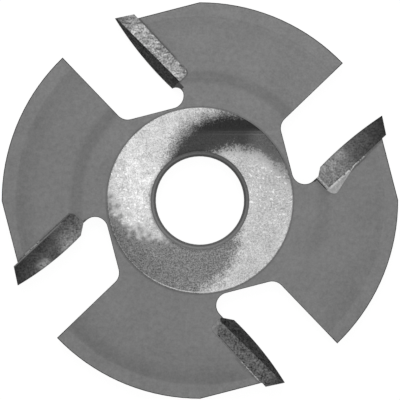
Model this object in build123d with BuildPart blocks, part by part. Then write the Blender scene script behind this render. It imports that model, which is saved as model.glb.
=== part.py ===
# Biscuit joiner blade: a groove cutter with four carbide tips brazed into a turned steel body.
# It lies flat, with its axis on Z and its origin in the middle of the bore. Seen from above it
# turns anticlockwise. Millimetres and degrees.
from build123d import *
import os
from math import cos, radians, sin, tan

# Cutter
cutting_diameter = 100.0
kerf = 3.96
tooth_count = 4
first_tooth_heading = 14.5

# Bore and hub
bore_diameter = 22.0
bore_lead_width = 1.3
bore_lead_depth = 0.6
hub_diameter = 46.2
hub_thickness = 3.4
hub_edge_chamfer = 0.2

# Plate
plate_thickness = 2.8
point_projection = 0.66
flat_depth = 1.55
edge_break = 0.2
relief_depth = 0.05
rim_land_width = 3.6

# Gullets, milled with one round wheel
gullet_depth = 26.1
gullet_radius = 3.2
far_wall_angle = 29.35

# Seats and tips
point_angle = 10.5
seat_lean = 28.3
seat_depth = 3.88
tip_length = 22.4
point_height = 4.2
root_heights = (5.58, 5.1, 5.3, 5.58)
face_crowns = (0.72, 0.69, 0.8, 0.88)
clearance_angle = 13.0
side_clearance = 0.75
back_clearance = 1.5
tip_corner_radii = (1.3, 0.7, 1.05, 1.05)
corner_is_bevelled = (False, False, True, False)
corner_bevel_depth = 3.2
corner_bevel_length = 2.2

# Oblique grinding of the faces, on alternate sides of the cutter
bevel_angle = 40.0
bevel_setback_point = 0.3
bevel_setback_root = 2.54
corner_grind_depth = 1.6
corner_grind_length = 2.2
corner_is_ground = (False, True, True, True)
wheel_runout = (1.8, 0.6, 0.2, 0.6)

# Silver solder
solder_gap = 0.15
bead_width = 0.35
bead_heights = (0.06, 0.15, 0.06, 0.06)
pool_width = 2.5
pool_length = 10.2
pool_apex = 0.4
pool_corner_radius = 1.3
has_pool = (False, True, False, False)
fillet_radius = 1.85
fillet_rise = 0.25
fillet_length = 2.4
has_fillet = (True, False, False, False)

# Derived sizes
cutting_radius = cutting_diameter / 2
bore_radius = bore_diameter / 2
hub_radius = hub_diameter / 2
body_radius = cutting_radius - point_projection
flat_height = body_radius - flat_depth
land_radius = body_radius - rim_land_width
gullet_floor = cutting_radius - gullet_depth
tooth_pitch = 360 / tooth_count
seat_hook = seat_lean - point_angle
heel_x = tip_length - point_height * tan(radians(seat_hook + clearance_angle))
beyond = cutting_radius

# Seat on the plane of its tooth
point_x = -cutting_radius * sin(radians(point_angle))
point_y = cutting_radius * cos(radians(point_angle))
point_on_tooth = Location((point_x, point_y, 0), (0, 0, 90 + seat_lean))
seat_on_tooth = point_on_tooth * Location((-tip_length, -point_height, 0))


def tooth_plane(index):
    """Plane of a tooth space: Y leaves the axis square to the gullet floor."""
    return Plane.XY.rotated((0, 0, first_tooth_heading - index * tooth_pitch))


def seat_plane(index):
    """Plane of a seat: origin at the tip's inner end, X outwards along its back, Y to its face."""
    return Plane(tooth_plane(index).location * seat_on_tooth)


def side_height(x, y):
    """Half thickness of a tip at a place on its seat plane: it falls away behind the point."""
    inwards = (tip_length - x) * tan(radians(side_clearance))
    backwards = (point_height - y) * tan(radians(back_clearance))
    return kerf / 2 - inwards - backwards


def turned(seat, x, y, z):
    """Direction given in a seat's own axes."""
    return seat.x_dir * x + seat.y_dir * y + seat.z_dir * z


def side_plane(index, side):
    """Ground side of a tip, side 1 above and -1 below."""
    seat = seat_plane(index)
    slope_in = tan(radians(side_clearance))
    slope_back = tan(radians(back_clearance))
    point = seat.from_local_coords((tip_length, point_height, side * kerf / 2))
    return Plane(origin=point, z_dir=turned(seat, -slope_in, -slope_back, side))


def bevel_plane(index):
    """Oblique face of a tip: ground on the upper side of even teeth and the lower of odd ones."""
    seat = seat_plane(index)
    side = 1 if index % 2 == 0 else -1
    root_y = root_heights[index] - bevel_setback_root
    point_y = point_height - bevel_setback_point
    root = seat.from_local_coords((0, root_y, side * side_height(0, root_y)))
    point = seat.from_local_coords((tip_length, point_y, side * side_height(tip_length, point_y)))
    falling = turned(seat, 0, sin(radians(bevel_angle)), -side * cos(radians(bevel_angle)))
    edge = point - root
    return Plane(origin=root, x_dir=edge, z_dir=edge.cross(falling) * side)


# Gullet outline: the path of the wheel's middle, grown by the wheel's radius
wheel_y = gullet_floor + gullet_radius
wheel_corner_x = gullet_radius / cos(radians(far_wall_angle)) - wheel_y * tan(radians(far_wall_angle))
wheel_corner = (wheel_corner_x, wheel_y)
wheel_by_seat = (seat_on_tooth * Location((0, seat_depth + gullet_radius, 0))).position
wheel_end = (wheel_by_seat.X + (wheel_by_seat.Y - wheel_y) * tan(radians(seat_lean)), wheel_y)

with BuildSketch() as gullet:
    with BuildLine():
        Line(wheel_end, wheel_corner)
        far_side = PolarLine(wheel_corner, beyond, angle=90 + far_wall_angle)
        near_side = PolarLine(wheel_end, beyond, angle=90 + seat_lean)
        Line(far_side @ 1, near_side @ 1)
    make_face()
    offset(amount=gullet_radius)

# Everything milled away in front of and above a tooth: its gullet and the flat behind the next one
with BuildSketch() as tooth_space:
    add(gullet.sketch)
    with Locations((0, flat_height)):
        Rectangle(cutting_diameter, beyond, align=(Align.CENTER, Align.MIN))


def add_tooth_spaces():
    """Cuts the open sketch for every tooth."""
    with PolarLocations(0, tooth_count, start_angle=first_tooth_heading):
        add(tooth_space.sketch, mode=Mode.SUBTRACT)


def make_tip_blank(index):
    """Tip as it is brazed: square on its back and inner end, with a crowned face."""
    root_height = root_heights[index]
    point = (tip_length, point_height)
    with BuildPart() as blank:
        with BuildSketch(seat_plane(index)) as plan:
            with BuildLine():
                Polyline((0, root_height), (0, 0), (heel_x, 0), point)
                SagittaArc(point, (0, root_height), -face_crowns[index])
            make_face()
            if corner_is_bevelled[index]:
                with BuildLine():
                    Polyline((0, 0), (corner_bevel_length, 0), (0, corner_bevel_depth), close=True)
                make_face(mode=Mode.SUBTRACT)
            else:
                fillet(plan.vertices().sort_by_distance((0, 0))[0], radius=tip_corner_radii[index])
            if corner_is_ground[index]:
                ground_from = (0, root_height - corner_grind_depth)
                ground_to = (2 * corner_grind_length, root_height + corner_grind_depth)
                with BuildLine():
                    Polyline(ground_from, ground_to, (0, root_height + corner_grind_depth), close=True)
                make_face(mode=Mode.SUBTRACT)
        extrude(amount=kerf, both=True)
        for side in (1, -1):
            split(bisect_by=side_plane(index, side), keep=Keep.BOTTOM)
    return blank.part


def make_tip(index):
    """Carbide tip with its oblique face ground."""
    with BuildPart() as tip:
        add(make_tip_blank(index))
        split(bisect_by=bevel_plane(index), keep=Keep.BOTTOM)
    return tip.part


def make_runout(index):
    """What the face wheel takes from the body where it runs out below the tip."""
    with BuildPart() as runout:
        with BuildSketch(seat_plane(index)):
            with Locations((-wheel_runout[index], 0)):
                Rectangle(wheel_runout[index], root_heights[index], align=Align.MIN)
        extrude(amount=kerf, both=True)
        split(bisect_by=bevel_plane(index), keep=Keep.TOP)
    return runout.part


def make_body():
    """Disc with a raised hub and a bore, milled for its gullets, flats and seats."""
    with BuildPart() as body:
        with BuildSketch():
            Circle(body_radius)
            add_tooth_spaces()
        extrude(amount=plate_thickness / 2, both=True)
        chamfer(body.faces().filter_by(Axis.Z).edges(), length=edge_break)

        for side in (1, -1):
            with BuildSketch(Plane.XY.offset(side * plate_thickness / 2)):
                Circle(land_radius)
                Circle(hub_radius, mode=Mode.SUBTRACT)
            extrude(amount=-side * relief_depth, mode=Mode.SUBTRACT)

        with BuildSketch():
            Circle(hub_radius)
            add_tooth_spaces()
        extrude(amount=hub_thickness / 2, both=True)
        hub_faces = body.faces().sort_by(Axis.Z)
        chamfer(hub_faces[0].edges() + hub_faces[-1].edges(), length=hub_edge_chamfer)

        with BuildSketch(Plane.XZ):
            with BuildLine():
                Polyline(
                    (0, 0),
                    (bore_radius, 0),
                    (bore_radius, hub_thickness / 2 - bore_lead_depth),
                    (bore_radius + bore_lead_width, hub_thickness / 2),
                    (0, hub_thickness / 2),
                    close=True,
                )
            make_face()
            mirror(about=Plane.XZ)
        revolve(axis=Axis.Z, mode=Mode.SUBTRACT)

        for index in range(tooth_count):
            with BuildSketch(seat_plane(index)) as pocket:
                with Locations((-solder_gap, -solder_gap)):
                    Rectangle(beyond, root_heights[index], align=Align.MIN)
                corner = pocket.vertices().sort_by_distance((-solder_gap, -solder_gap))[0]
                fillet(corner, radius=tip_corner_radii[index] + solder_gap)
            extrude(amount=kerf, both=True, mode=Mode.SUBTRACT)
            add(make_runout(index), mode=Mode.SUBTRACT)
    return body.part


def make_solder(index, body):
    """Solder between a tip and its seat: a bead on both faces, and on some a pool or a fillet."""
    bead_height = bead_heights[index]
    with BuildPart() as solder:
        with BuildSketch(seat_plane(index)) as filling:
            with Locations((-bead_width, -bead_width)):
                Rectangle(tip_length, root_heights[index], align=Align.MIN)
            corner = filling.vertices().sort_by_distance((-bead_width, -bead_width))[0]
            fillet(corner, radius=tip_corner_radii[index] + bead_width)
        extrude(amount=plate_thickness / 2 + bead_height, both=True)
        chamfer(solder.faces().filter_by(Axis.Z).edges(), length=bead_height)
        if has_pool[index]:
            with BuildSketch(seat_plane(index)) as pool:
                with BuildLine():
                    Polyline((-bead_width, 0), (pool_length, 0), (pool_apex, -pool_width), close=True)
                make_face()
                apex = pool.vertices().sort_by_distance((pool_apex, -pool_width))[0]
                fillet(apex, radius=pool_corner_radius)
            extrude(amount=plate_thickness / 2 + bead_height)
        with BuildSketch(tooth_plane(index)):
            add(tooth_space.sketch)
        extrude(amount=hub_thickness, both=True, mode=Mode.SUBTRACT)
        if has_fillet[index]:
            with BuildSketch(seat_plane(index)):
                with Locations((-fillet_length, seat_depth)):
                    Rectangle(fillet_length, fillet_rise + fillet_radius, align=Align.MIN)
                with Locations((-fillet_radius, seat_depth + fillet_rise + fillet_radius)):
                    Circle(fillet_radius, mode=Mode.SUBTRACT)
            extrude(amount=plate_thickness / 2, both=True)
        add(body, mode=Mode.SUBTRACT)
        add(make_tip_blank(index), mode=Mode.SUBTRACT)
        split(bisect_by=bevel_plane(index), keep=Keep.BOTTOM)
    return solder.part


def write_part(part, name):
    part.label = name
    export_step(part, f"parts/{name}.step")


os.makedirs("parts", exist_ok=True)
blade_body = make_body()
write_part(blade_body, "blade_body")
for index in range(tooth_count):
    write_part(make_tip(index), f"carbide_tip_{index + 1}")
    write_part(make_solder(index, blade_body), f"solder_{index + 1}")
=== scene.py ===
# Biscuit joiner blade: its finishes, floor, light and camera. Metres, with textures in millimetres.
from math import cos, degrees, radians, sin

import bpy
from mathutils import Matrix, Vector


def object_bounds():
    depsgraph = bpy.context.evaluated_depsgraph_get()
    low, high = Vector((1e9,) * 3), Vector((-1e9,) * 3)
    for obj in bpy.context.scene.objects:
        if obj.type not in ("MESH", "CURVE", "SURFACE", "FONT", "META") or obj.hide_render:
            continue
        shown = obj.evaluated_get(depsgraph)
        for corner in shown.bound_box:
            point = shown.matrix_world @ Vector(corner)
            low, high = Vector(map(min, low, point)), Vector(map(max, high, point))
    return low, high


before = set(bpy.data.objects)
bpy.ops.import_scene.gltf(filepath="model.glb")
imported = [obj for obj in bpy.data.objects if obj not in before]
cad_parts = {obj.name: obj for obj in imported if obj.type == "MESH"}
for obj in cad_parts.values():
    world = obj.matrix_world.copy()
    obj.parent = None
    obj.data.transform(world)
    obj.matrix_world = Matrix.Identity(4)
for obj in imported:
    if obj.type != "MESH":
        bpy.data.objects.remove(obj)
cad_low, cad_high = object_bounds()

MM = 0.001

# Turned and milled body, in millimetres from the axis
bore_radius = 11.0
bore_lead_width = 1.3
hub_radius = 23.1
relief_edge_radius = 45.74

# Teeth: place of a seat from the tooth's heading, in millimetres and degrees
cutting_radius = 50.0
tooth_count = 4
first_tooth_heading = 14.5
point_angle = 10.5
seat_lean = 28.3
tip_length = 22.4
point_height = 4.2
root_heights = (5.58, 5.1, 5.3, 5.58)
face_crowns = (0.72, 0.69, 0.8, 0.88)

# Photograph: its width at the object and the place that its middle sees
photo_width = 99.48 * MM
photo_middle = (0.02 * MM, 0.13 * MM)
camera_distance = 1.0
sensor_width = 36.0

# Floor and light
sky_light = 0.55
floor_width = 6.0
floor_gap = 0.02 * MM
floor_glow = 0.9
floor_white = 1.05
lamp_distance = 0.9

# How metallic and how rough the surfaces are, and the depth of their finest marks
metal_share = 0.85
plate_roughness = 0.42
hub_roughness = 0.3
edge_roughness = 0.8
carbide_roughness = 0.36
solder_roughness = 0.5
turning_depth = 0.004 * MM
grinding_depth = 0.003 * MM
solder_skin_depth = 0.01 * MM

# Levelness, 1 on a level face and 0 on an upright wall, between which a level face's looks give way
# to those of a slope of the body, of a tip's oblique face and of a wall
slope_levelness = (0.995, 0.985)
oblique_levelness = (0.985, 0.97)
wall_levelness = (0.35, 0.15)

# Display levels of the body, from 0 to 255, where a pair grades from one side to the other
# The plate's pair is painted shading, lighter towards a heading of 75 degrees
plate_levels = (116, 118.5)
# The hub's pair and its shine are painted highlight and shade, brightest on the left; its glint is a
# painted highlight
bright_hub_levels = (204, 191)
hub_shine_level = 217
hub_glint_level = 215
# Levels of the hub's dull and dark bands of painted reflection
dull_reflection_level = 124
dull_reflection_rim_levels = (115, 130)
dark_reflection_levels = (64, 92)
dark_top_level = 43
# The bore lead's pair is painted shade, darker on one side
lead_levels = (129, 112)
# Painted shade on the broken edges and on the oblique cut where the wheel ran out
edge_shade_level = 48
run_out_shade_level = 92
body_wall_level = 108

# Display levels of a tip's oblique face and of its walls
oblique_level = 49
tip_wall_level = 92

# Painted shade on the plate, in rings where its turned slopes lie, in a narrow line inside its rim land
# and in the shadow round the hub's step: radii in millimetres, and how much darker they are
inner_ring_radii = (29.3, 32.3)
inner_ring_shade = 0.17
outer_ring_radii = (34.0, 45.0)
outer_ring_shade = 0.08
rim_line_radii = (40.5, 44.6)
rim_line_shade = 0.05
hub_shadow_width = 0.42
hub_shadow_shade = 0.22

# Curved grinding marks on the hub, which the painted dull and dark bands of reflection follow: the degrees
# that they lag for each millimetre inwards, and the degrees between which those bands start and end
hub_swirl = 5.0
dull_band_start = (167.0, 188.0)
dull_band_end = (282.0, 256.0)
dark_band_start = (6.0, 29.0)
dark_band_end = (94.0, 61.0)

# Straight scratches across the dark band, in millimetres above the axis
scratch_heights = (16.38, 17.05)
scratch_width = 0.2


def grey(level):
    """Linear tone of a display level from 0 to 255."""
    share = level / 255
    return share / 12.92 if share < 0.04045 else ((share + 0.055) / 1.055) ** 2.4


class Number:
    """A number that varies over a surface: a socket that takes part in plain arithmetic."""

    def __init__(self, tree, socket):
        self.tree = tree
        self.socket = socket

    def __add__(self, other):
        return self.tree.math("ADD", self, other)

    def __radd__(self, other):
        return self.tree.math("ADD", other, self)

    def __sub__(self, other):
        return self.tree.math("SUBTRACT", self, other)

    def __rsub__(self, other):
        return self.tree.math("SUBTRACT", other, self)

    def __mul__(self, other):
        return self.tree.math("MULTIPLY", self, other)

    def __rmul__(self, other):
        return self.tree.math("MULTIPLY", other, self)

    def __truediv__(self, other):
        return self.tree.math("DIVIDE", self, other)

    def __rtruediv__(self, other):
        return self.tree.math("DIVIDE", other, self)

    def __abs__(self):
        return self.tree.math("ABSOLUTE", self)


class Tree:
    """A node tree whose nodes all come from one method."""

    def __init__(self, tree):
        self.nodes = tree.nodes
        self.links = tree.links
        self.nodes.clear()

    def add(self, kind, settings, sockets):
        """Adds a node: its settings first, then the values or links of its sockets."""
        node = self.nodes.new(kind)
        for name, value in settings.items():
            setattr(node, name, value)
        for name, value in sockets.items():
            value = getattr(value, "socket", value)
            if isinstance(value, bpy.types.NodeSocket):
                self.links.new(value, node.inputs[name])
            else:
                node.inputs[name].default_value = value
        return node

    def number(self, kind, settings, sockets, output=0):
        """A node's output as a number."""
        return Number(self, self.add(kind, settings, sockets).outputs[output])

    def math(self, operation, *terms):
        """Result of one sum on numbers."""
        return self.number("ShaderNodeMath", {"operation": operation}, dict(enumerate(terms)))

    def rise(self, value, low, high):
        """0 below low and 1 above high, with a smooth step between. It falls if low is the higher."""
        sockets = {"Value": value, "From Min": low, "From Max": high}
        return self.number("ShaderNodeMapRange", {"interpolation_type": "SMOOTHSTEP"}, sockets)

    def between(self, value, low, high, soft):
        """1 from low to high, with edges softened over a width on each side."""
        entered = self.rise(value, low - soft, low + soft)
        left = self.rise(value, high - soft, high + soft)
        return entered * (1 - left)

    def noise(self, place, per_mm, detail):
        """Even noise about 0, from about -0.3 to 0.3."""
        sockets = {"Vector": place, "Scale": per_mm, "Detail": detail}
        return self.number("ShaderNodeTexNoise", {"noise_dimensions": "3D"}, sockets) - 0.5

    def rings(self, radius, per_mm, detail):
        """Turning marks: noise that depends on the radius alone."""
        sockets = {"W": radius, "Scale": per_mm, "Detail": detail}
        return self.number("ShaderNodeTexNoise", {"noise_dimensions": "1D"}, sockets) - 0.5

    def parts(self, vector):
        """The three numbers of a vector."""
        node = self.add("ShaderNodeSeparateXYZ", {}, {"Vector": vector})
        return [Number(self, output) for output in node.outputs]

    def moved(self, vector, origin, turn):
        """A place as it is seen from an origin and a turn about Z."""
        sockets = {"Vector": vector, "Location": origin, "Rotation": (0, 0, turn)}
        return self.add("ShaderNodeMapping", {"vector_type": "TEXTURE"}, sockets).outputs[0]

    def scaled(self, vector, scale):
        """A place stretched along its axes."""
        sockets = {0: vector, 1: scale}
        return self.add("ShaderNodeVectorMath", {"operation": "MULTIPLY"}, sockets).outputs[0]

    def length(self, vector):
        """Length of a vector."""
        return self.number("ShaderNodeVectorMath", {"operation": "LENGTH"}, {0: vector}, "Value")

    def levelness(self):
        """1 on a level face, 0 on an upright wall."""
        normal = self.add("ShaderNodeNewGeometry", {}, {}).outputs["True Normal"]
        return abs(self.parts(normal)[2])


def mixed(mask, first, second):
    """First where the mask is 0 and second where it is 1."""
    return first + (second - first) * mask


def graded(mask, levels):
    """Tone of the first display level where the mask is 0 and of the second where it is 1."""
    return mixed(mask, grey(levels[0]), grey(levels[1]))


class Metal(Tree):
    """A metal finish: a material with one metal shader, which varies with the place in millimetres."""

    def __init__(self, name):
        self.material = bpy.data.materials.new(name)
        self.material.use_nodes = True
        super().__init__(self.material.node_tree)
        place = self.add("ShaderNodeTexCoord", {}, {}).outputs["Object"]
        sockets = {0: place, "Scale": 1 / MM}
        self.place = self.add("ShaderNodeVectorMath", {"operation": "SCALE"}, sockets).outputs[0]

    def from_seat(self, index):
        """Place as it is seen from a seat: along it outwards, then across it to the tip's face."""
        return self.moved(self.place, *seat_on_plan(index))

    def close(self, tone, roughness, height, depth):
        """Joins the tone, the roughness and marks of a depth to the shader and returns the material."""
        bump = self.add("ShaderNodeBump", {}, {"Distance": depth, "Height": height})
        sockets = {
            "Base Color": tone,
            "Metallic": metal_share,
            "Roughness": roughness,
            "Normal": bump.outputs["Normal"],
        }
        shader = self.add("ShaderNodeBsdfPrincipled", {}, sockets)
        self.add("ShaderNodeOutputMaterial", {}, {"Surface": shader.outputs["BSDF"]})
        return self.material


class Turned(Metal):
    """Finish of the disc, which also varies with the radius and the side."""

    def __init__(self, name):
        super().__init__(name)
        self.x, self.y, _ = self.parts(self.place)
        self.radius = self.length(self.scaled(self.place, (1, 1, 0)))

    def toward(self, heading):
        """1 on the side of the disc at a heading, -1 on the far side."""
        heading = radians(heading)
        return (self.x * cos(heading) + self.y * sin(heading)) / self.radius


class Seated(Metal):
    """Finish of a piece in a seat, which also varies along the seat and across it."""

    def __init__(self, name, index):
        super().__init__(f"{name}_{index + 1}")
        self.index = index
        self.on_seat = self.from_seat(index)
        self.along, self.across, _ = self.parts(self.on_seat)


def turned_body():
    """Steel plate with faint turning marks, a ground hub, and painted shade on its broken edges."""
    disc = Turned("turned_steel")
    radius = disc.radius
    level = disc.levelness()
    grain = disc.noise(disc.place, 2.2, 3.0)
    marks = disc.rings(radius, 1.6, 3.0)
    on_hub = disc.rise(radius, hub_radius + 0.06, hub_radius - 0.04)
    tone = mixed(on_hub, shaded_plate(disc, grain, marks), ground_hub(disc))

    # Broken edges and oblique cuts darkened with painted shade, the mouth of the bore, and milled walls
    streaks = disc.noise(disc.scaled(disc.place, (1, 1, 0.08)), 2.5, 2.0)
    wall = grey(body_wall_level) * (1 + 0.9 * streaks)
    slope = disc.rise(level, *slope_levelness)
    upright = disc.rise(level, *wall_levelness)
    hub_edge = disc.between(radius, hub_radius - 0.3, hub_radius + 0.1, 0.02)
    lead = disc.between(radius, bore_radius - 0.5, bore_radius + bore_lead_width + 0.05, 0.02)
    # Painted shade on the oblique cut and the broken edges
    oblique = graded(run_out(disc), (edge_shade_level, run_out_shade_level))
    tone = mixed(slope * (1 - hub_edge), tone, oblique)
    tone = mixed(slope * lead, tone, bore_lead(disc, grain))
    tone = mixed(upright, tone, wall)

    roughness = mixed(on_hub, plate_roughness, hub_roughness) + 0.25 * grain
    roughness = mixed(slope, roughness, edge_roughness)
    height = marks + 0.6 * grain
    return disc.close(tone, roughness, height, turning_depth)


def shaded_plate(disc, grain, marks):
    """Plate tone: painted shade in rings, each strongest on one side, round the hub and beside the teeth.
    """
    radius = disc.radius
    cloud = disc.noise(disc.place, 0.12, 3.0)
    mottle = disc.noise(disc.place, 0.8, 3.0)
    # Painted shading: the plate lighter towards a heading of 75 degrees
    tone = graded(disc.rise(disc.toward(75), 0.3, 0.95), plate_levels)
    tone = tone * (1 + 0.3 * cloud + 0.4 * mottle + 0.42 * grain + 0.08 * marks)

    # Painted shade in rings and in a line near the rim, each strongest on one side
    inner_ring = disc.between(radius, *inner_ring_radii, 0.8) * disc.rise(disc.toward(100), -1.0, 0.5)
    outer_ring = disc.rise(radius, *outer_ring_radii) * disc.rise(disc.toward(215), -0.9, 0.5)
    rim_line = disc.rise(radius, *rim_line_radii) * (1 + disc.rise(disc.toward(262), -0.2, 1.0))
    relieved = disc.rise(radius, relief_edge_radius + 0.4, relief_edge_radius - 0.4)
    # Painted shadow on the plate round the hub's step
    hub_shadow = disc.between(radius, hub_radius, hub_radius + hub_shadow_width, 0.1)
    tone = tone * (1 - inner_ring_shade * inner_ring) * (1 - hub_shadow_shade * hub_shadow)
    tone = tone * (1 - relieved * (outer_ring_shade * outer_ring + rim_line_shade * rim_line))

    # Painted shade beside the teeth and in the corners at their inner ends
    for tooth, from_x, to_x, from_y, to_y, share in tip_shades:
        along, across, _ = disc.parts(disc.from_seat(tooth))
        stretch = disc.between(along + 2 * grain, from_x, to_x, 0.4)
        tip_shade = stretch * disc.between(across + 0.7 * grain, from_y, to_y, 0.12)
        tone = tone * (1 - share * tip_shade)
    return tone


def run_out(disc):
    """1 where the wheel that ground the first tip ran out over the plate."""
    along, across, _ = disc.parts(disc.from_seat(0))
    return disc.between(along, -3.0, 0.3, 0.1) * disc.rise(across, 2.5, 2.7)


def ground_hub(disc):
    """Tone of the hub's ground face, with a dark and a dull band of painted reflection along the curved
    marks.
    """
    radius = disc.radius
    blotch = disc.noise(disc.place, 0.5, 3.0)
    comb = disc.noise(disc.place, 1.7, 3.0)
    speckle = disc.noise(disc.place, 3.4, 1.0)
    heading = disc.math("ARCTAN2", disc.y, disc.x) * degrees(1)
    spiral = disc.math("WRAP", heading + 360 - hub_swirl * (hub_radius - radius), 360.0, 0.0)

    # Degrees along the marks, each blurred as much as that edge of a band is ragged
    lumpy = 64 - 30 * disc.rise(radius, 19.5, 22.5)
    dull_start = spiral + lumpy * blotch + 28 * comb + 10 * speckle
    dull_end = spiral + 24 * blotch + 16 * comb + 10 * speckle
    dark_start = spiral + 20 * blotch + 30 * comb + 22 * speckle + 4 * disc.rise(radius, 18.9, 20.5)
    dark_end = spiral + 8 * blotch + 8 * comb + 14 * speckle + 3 * disc.rise(radius, 20.3, hub_radius)
    # Where the dull and the dark band of painted reflection lie
    in_dull = disc.rise(dull_start, *dull_band_start) * disc.rise(dull_end, *dull_band_end)
    in_dark = disc.rise(dark_start, *dark_band_start) * disc.rise(dark_end, *dark_band_end)
    tone = bright_hub(disc, blotch, comb, speckle)
    tone = mixed(in_dull, tone, dull_reflection(disc, spiral, blotch, comb, speckle))
    tone = mixed(in_dark, tone, dark_reflection(disc, comb, speckle))

    # Glint on the rim and the shade at the mouth of the bore
    glint = disc.between(radius, hub_radius - 0.38, hub_radius - 0.1, 0.08)
    glint = glint * (0.15 + 0.5 * disc.rise(disc.toward(268), 0.75, 0.98) + comb)
    near_bore = disc.rise(radius, bore_radius + bore_lead_width + 0.7, bore_radius + bore_lead_width)
    near_bore = near_bore * (0.24 + 0.2 * disc.toward(180))
    return mixed(glint * (1 - in_dark), tone, grey(hub_glint_level)) * (1 - near_bore)


def bright_hub(disc, blotch, comb, speckle):
    """Tone of most of the hub: blotched, brightest on the left by painted highlight and shade, flecked half
    way up.
    """
    # Painted highlight and shade, brightest on the left
    from_shine = disc.scaled(disc.moved(disc.place, (-15.5, 4.0, 0), 0.0), (1, 0.6, 0))
    shine = disc.rise(disc.length(from_shine), 7.5, 1.5)
    tone = graded(disc.rise(disc.x, -12.0, 12.0), bright_hub_levels)
    tone = mixed(shine, tone, grey(hub_shine_level)) * (1 + 0.3 * disc.noise(disc.place, 0.25, 0.0))
    tone = tone * (1 + (0.45 + 0.7 * shine) * blotch + 0.8 * comb + 1.02 * speckle)
    flecked = disc.between(abs(disc.y - 1), -1.0, 8.0, 3.0)
    return tone + 0.28 * flecked * disc.rise(disc.noise(disc.place, 1.3, 0.0), 0.17, 0.25)


def dull_reflection(disc, spiral, blotch, comb, speckle):
    """Tone of the hub's dull band of painted reflection, which has the coarsest speckle."""
    near_rim = graded(disc.rise(spiral, 215.0, 265.0), dull_reflection_rim_levels)
    tone = mixed(disc.rise(disc.radius, 17.5, 20.5), grey(dull_reflection_level), near_rim)
    tone = tone * (1 - 0.13 * disc.rise(disc.radius, 21.4, 22.4))
    return tone * (1 + 0.8 * comb + 0.4 * blotch + 2.4 * speckle)


def dark_reflection(disc, comb, speckle):
    """Tone of the hub's dark band of painted reflection, darkest at its top and crossed by straight
    scratches.
    """
    tone = graded(disc.rise(disc.x, 10.5, 15.0), dark_reflection_levels)
    tone = mixed(disc.rise(disc.y + 2 * comb, 16.1, 18.2), tone, grey(dark_top_level))
    scratches = sum(disc.between(disc.y, low, low + scratch_width, 0.08) for low in scratch_heights)
    scratches = scratches * disc.rise(disc.x, -2.0, 8.0)
    return tone * (1 + 0.8 * comb + 0.9 * speckle + 0.4 * scratches)


def bore_lead(disc, grain):
    """Tone of the chamfer at the mouth of the bore, with painted shade on one side and at both its edges.
    """
    # Painted shade, darker on one side and at both edges of the chamfer
    tone = graded(disc.rise(disc.toward(75), -1.0, 1.0), lead_levels)
    lower = disc.rise(disc.radius, bore_radius + 0.62, bore_radius + 0.42)
    upper = disc.rise(disc.radius, bore_radius + 0.85, bore_radius + 1.1)
    return tone * (1 - 0.46 * lower) * (1 - 0.24 * upper) * (1 + 0.5 * grain)


def seat_on_plan(index):
    """Origin and turn of a seat: its inner end, and the direction of its back outwards."""
    heading = radians(first_tooth_heading - index * 360 / tooth_count)
    point = cutting_radius * Vector((-sin(radians(point_angle)), cos(radians(point_angle)), 0))
    back = Vector((cos(radians(90 + seat_lean)), sin(radians(90 + seat_lean)), 0))
    face = Vector((-back.y, back.x, 0))
    origin = point - tip_length * back - point_height * face
    return Matrix.Rotation(heading, 3, "Z") @ origin, heading + radians(90 + seat_lean)


# Painted shade on the plate beside the teeth and in the corners at their inner ends: tooth, stretch
# along the seat, stretch across it and how much darker they are
tip_shades = (
    (1, 5.5, 12.5, -0.85, -0.5, 0.42),
    (1, 12.5, 20.0, -0.65, -0.4, 0.3),
    (1, -1.0, -0.3, -1.4, 3.2, 0.16),
    (1, -1.2, 0.1, 3.5, 5.2, 0.8),
    (2, 9.8, 13.4, -0.95, -0.3, 0.2),
    (2, 14.5, 20.0, -0.75, -0.3, 0.25),
    (3, -1.1, 0.1, 3.5, 5.2, 0.65),
    (0, 5.0, 19.0, -0.6, -0.35, 0.12),
    (3, 6.0, 18.0, -0.75, -0.4, 0.15),
)

# Tones of each tip's sides along its length: millimetres from the inner end, then the display
# levels at the back and at the face
side_tones = (
    ((0, 148, 152), (4, 141, 145), (10, 148, 148), (17.2, 150, 142), (18.6, 126, 116), (20, 120, 110),
     (22, 108, 96)),
    ((0, 117, 127), (5, 118, 132), (8.6, 106, 118), (11, 73, 90), (15, 65, 78), (19, 52, 58), (22, 38, 42)),
    ((0, 112, 115), (2.4, 88, 91), (18.5, 91, 87), (20.5, 66, 66), (22.4, 52, 48)),
    ((0, 73, 104), (6.6, 75, 114), (9.8, 58, 75), (15, 53, 78), (18, 47, 67), (22, 35, 47)),
)
# How strongly each tip is blotched, speckled and crossed by the wheel's light waves
side_marks = ((1.4, 2.9, 0.5), (1.4, 2.3, 0), (1.6, 3.4, 0), (1.5, 2.6, 0))
# Narrow painted highlights along the edges of a tip's side: tooth, stretch along the seat, stretch
# across it and display level
edge_highlights = (
    (1, 0.2, 0.48, -0.3, 4.0, 168),
    (3, 4.0, 20.0, -0.3, 0.28, 108),
)
# Rubbed places at a tip's face: tooth, place along the seat and below the face, half sizes, level
rubbed_places = (
    (3, 6.2, 0.5, 2.6, 0.9, 136),
    (3, 13.9, 0.4, 1.9, 1.7, 134),
    (1, 8.2, 1.2, 1.2, 1.4, 138),
)


def face_arc(index):
    """Middle and radius of the crown of a tip's face, on its seat."""
    root = Vector((0, root_heights[index], 0))
    point = Vector((tip_length, point_height, 0))
    chord = point - root
    outwards = Vector((-chord.y, chord.x, 0)).normalized()
    radius = chord.length ** 2 / (8 * face_crowns[index]) + face_crowns[index] / 2
    return (root + point) / 2 + outwards * (face_crowns[index] - radius), radius


def wheel_waves(tip):
    """Thin light arcs and broad waves that cross a tip, where its side was ground last."""
    arcs = tip.rise(abs(tip.noise(tip.scaled(tip.place, (0.3, 0.9, 1)), 0.9, 0.0)), 0.06, 0.01)
    broad = tip.noise(tip.scaled(tip.place, (0.35, 1, 1)), 1.1, 0.0)
    return arcs + 2.8 * broad


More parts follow.
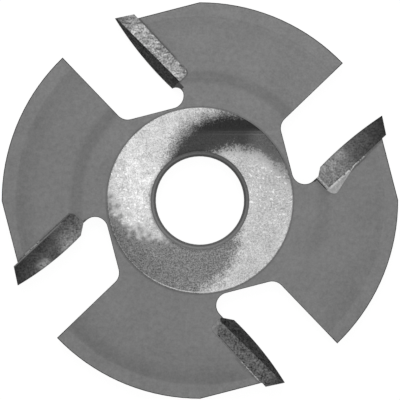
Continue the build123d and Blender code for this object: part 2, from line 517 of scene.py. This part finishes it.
def ground_side(tip, blotch, grain):
    """Tone of a tip's side, which changes along it, with painted shade at its edges and painted highlights.
    """
    middle, crown_radius = face_arc(tip.index)
    from_middle = tip.scaled(tip.moved(tip.on_seat, middle, 0.0), (1, 1, 0))
    below_face = crown_radius - tip.length(from_middle)
    wander = tip.along + 3.5 * blotch + 1.5 * grain
    to_face = tip.rise(tip.across, 0.6, 4.8)
    stations = side_tones[tip.index]
    tone = graded(to_face, stations[0][1:])
    for before, after in zip(stations, stations[1:]):
        tone = mixed(tip.rise(wander, before[0], after[0]), tone, graded(to_face, after[1:]))
    for tooth, at_x, depth, half_x, half_y, level in rubbed_places:
        if tooth == tip.index:
            reach_x = (tip.along - at_x) / half_x
            reach_y = (below_face - depth) / half_y
            reach = reach_x * reach_x + reach_y * reach_y + 4 * blotch + 2 * grain
            tone = mixed(tip.rise(reach, 1.8, -0.3), tone, grey(level))
    blotched, speckled, waved = side_marks[tip.index]
    tone = tone * (1 + blotched * blotch + speckled * grain)
    # Painted shade along the tip's face and back edges
    edge = tip.rise(below_face, 0.45, 0.15) + tip.rise(tip.across + 0.5 * grain, 0.24, 0.05)
    tone = tone * (1 - 0.35 * edge)
    # Painted highlights along some of the tip's edges
    for tooth, from_x, to_x, from_y, to_y, level in edge_highlights:
        if tooth == tip.index:
            highlight_strip = tip.between(tip.along + grain, from_x, to_x, 0.1)
            highlight_strip = highlight_strip * tip.between(tip.across + 0.4 * grain, from_y, to_y, 0.08)
            tone = mixed(highlight_strip, tone, grey(level) * (1 + 1.2 * grain))
    if waved:
        tone = tone * (1 + waved * wheel_waves(tip))
    return tone


def ground_carbide(index):
    """Carbide tip: blotched ground sides and one dark oblique face."""
    tip = Seated("ground_carbide", index)
    level = tip.levelness()
    blotch = tip.noise(tip.place, 0.9, 2.0)
    grain = tip.noise(tip.place, 2.3, 2.0)
    scratches = tip.noise(tip.scaled(tip.on_seat, (3.0, 0.35, 0.35)), 1.6, 2.0)

    side = ground_side(tip, blotch, grain)
    oblique = grey(oblique_level) * (1 + 2.0 * blotch + 4.5 * grain)
    wall = grey(tip_wall_level) * (1 + 0.6 * scratches + 0.5 * blotch)
    tone = mixed(tip.rise(level, *oblique_levelness), side, oblique)
    tone = mixed(tip.rise(level, *wall_levelness), tone, wall)
    roughness = carbide_roughness + 0.3 * grain
    height = scratches + 0.5 * grain
    return tip.close(tone, roughness, height, grinding_depth)


# Solder in each seat: display levels of its skin, of its bead at the inner end (painted shadow in the
# second) and along the back, of the light stretch of the bead, with its millimetres along the seat, and of
# the painted shade on its ground slope
solder_tones = (
    {"skin": 100, "end": 98, "back": 92, "light": 112, "light_from": 2.0, "light_to": 5.0, "slope": 84},
    {"skin": 150, "end": 48, "back": 100, "light": 174, "light_from": -1.0, "light_to": 12.6, "slope": 50},
    {"skin": 122, "end": 119, "back": 112, "light": 168, "light_from": 11.4, "light_to": 18.2, "slope": 50},
    {"skin": 112, "end": 106, "back": 88, "light": 142, "light_from": 11.0, "light_to": 16.0, "slope": 50},
)


def silver_solder(index):
    """Solder run out at a seat, with a dull skin, a light stretch along its bead and painted shade on its
    slope.
    """
    solder = Seated("silver_solder", index)
    along, across = solder.along, solder.across
    blotch = solder.noise(solder.place, 1.1, 2.0)
    grain = solder.noise(solder.place, 3.0, 2.0)
    shade = solder_tones[index]
    bead = solder.rise(across, -0.55, -0.4) * solder.rise(along, 0.4, 0.8)
    light = solder.between(along + 4 * blotch, shade["light_from"], shade["light_to"], 0.6)
    light = light * solder.rise(blotch + grain, -0.16, 0.02)
    skin = mixed(bead, grey(shade["skin"]), graded(light, (shade["back"], shade["light"])))
    # The second seat's dark bead end is painted shadow in the gap at the tip
    at_end = solder.rise(along, -0.05, -0.15) * solder.rise(across, -0.3, 0.2)
    skin = mixed(at_end, skin, grey(shade["end"]))
    tone = skin * (1 + 0.7 * blotch + 0.9 * grain)
    # Painted shade on the ground slope
    ground = solder.between(solder.levelness(), 0.6, 0.9, 0.05) * solder.rise(across, 3.0, 3.2)
    tone = mixed(ground, tone, grey(shade["slope"]))
    roughness = solder_roughness + 0.4 * grain
    return solder.close(tone, roughness, blotch + grain, solder_skin_depth)


def dress(node, material):
    """Gives a node's slots a material."""
    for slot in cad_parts[node].material_slots:
        slot.material = material


def white_sky():
    """Even light from all round, seen as white by the camera and in metal."""
    world = bpy.data.worlds.new("studio")
    world.use_nodes = True
    bpy.context.scene.world = world
    tree = Tree(world.node_tree)
    seen = seen_directly(tree)
    strength = mixed(seen, sky_light, 1.0)
    background = tree.add("ShaderNodeBackground", {}, {"Color": (1, 1, 1, 1), "Strength": strength})
    tree.add("ShaderNodeOutputWorld", {}, {"Surface": background.outputs["Background"]})


def seen_directly(tree):
    """1 where the camera sees a place itself, or in metal or glass."""
    path = tree.add("ShaderNodeLightPath", {}, {})
    names = ("Is Camera Ray", "Is Glossy Ray", "Is Transmission Ray")
    camera, glossy, passing = [Number(tree, path.outputs[name]) for name in names]
    return tree.math("MINIMUM", camera + glossy + passing, 1.0)


def pale_floor():
    """Wide pale floor just under the cutter, white where nothing shades it."""
    half = floor_width / 2
    below = cad_low.z - floor_gap
    mesh = bpy.data.meshes.new("floor")
    corners = [(-half, -half, below), (half, -half, below), (half, half, below), (-half, half, below)]
    mesh.from_pydata(corners, [], [(0, 1, 2, 3)])
    floor = bpy.data.objects.new("floor", mesh)
    bpy.context.scene.collection.objects.link(floor)
    material = bpy.data.materials.new("floor_paint")
    material.use_nodes = True
    tree = Tree(material.node_tree)
    paint = tree.add("ShaderNodeBsdfDiffuse", {}, {"Color": (0.9, 0.9, 0.9, 1)})
    glow = tree.add("ShaderNodeEmission", {}, {"Color": (1, 1, 1, 1), "Strength": floor_white})
    share = seen_directly(tree) * floor_glow
    both = tree.add("ShaderNodeMixShader", {}, {0: share, 1: paint.outputs[0], 2: glow.outputs[0]})
    tree.add("ShaderNodeOutputMaterial", {}, {"Surface": both.outputs[0]})
    mesh.materials.append(material)


def soft_lamp(name, azimuth, elevation, width, power):
    """Square lamp that the camera doesn't see, aimed at the cutter."""
    light = bpy.data.lights.new(name, "AREA")
    light.size = width
    light.energy = power
    lamp = bpy.data.objects.new(name, light)
    bpy.context.scene.collection.objects.link(lamp)
    azimuth, elevation = radians(azimuth), radians(elevation)
    level = Vector((cos(azimuth), sin(azimuth), 0))
    direction = cos(elevation) * level + sin(elevation) * Vector((0, 0, 1))
    lamp.location = lamp_distance * direction
    lamp.rotation_euler = direction.to_track_quat("Z", "Y").to_euler()
    lamp.visible_camera = False


def photo_camera():
    """Camera straight above the disc, framed as the photograph is."""
    camera = bpy.data.cameras.new("photo_camera")
    camera.sensor_width = sensor_width
    camera.lens = sensor_width * camera_distance / photo_width
    camera.clip_end = 10 * camera_distance
    holder = bpy.data.objects.new("photo_camera", camera)
    bpy.context.scene.collection.objects.link(holder)
    holder.location = (*photo_middle, cad_high.z + camera_distance)
    bpy.context.scene.camera = holder


bpy.context.scene.view_settings.view_transform = "Standard"
white_sky()
pale_floor()
soft_lamp("key_lamp", azimuth=100, elevation=42, width=0.5, power=3.8)
soft_lamp("fill_lamp", azimuth=-35, elevation=35, width=0.7, power=1.6)
photo_camera()

dress("blade_body", turned_body())
for index in range(tooth_count):
    dress(f"carbide_tip_{index + 1}", ground_carbide(index))
    dress(f"solder_{index + 1}", silver_solder(index))
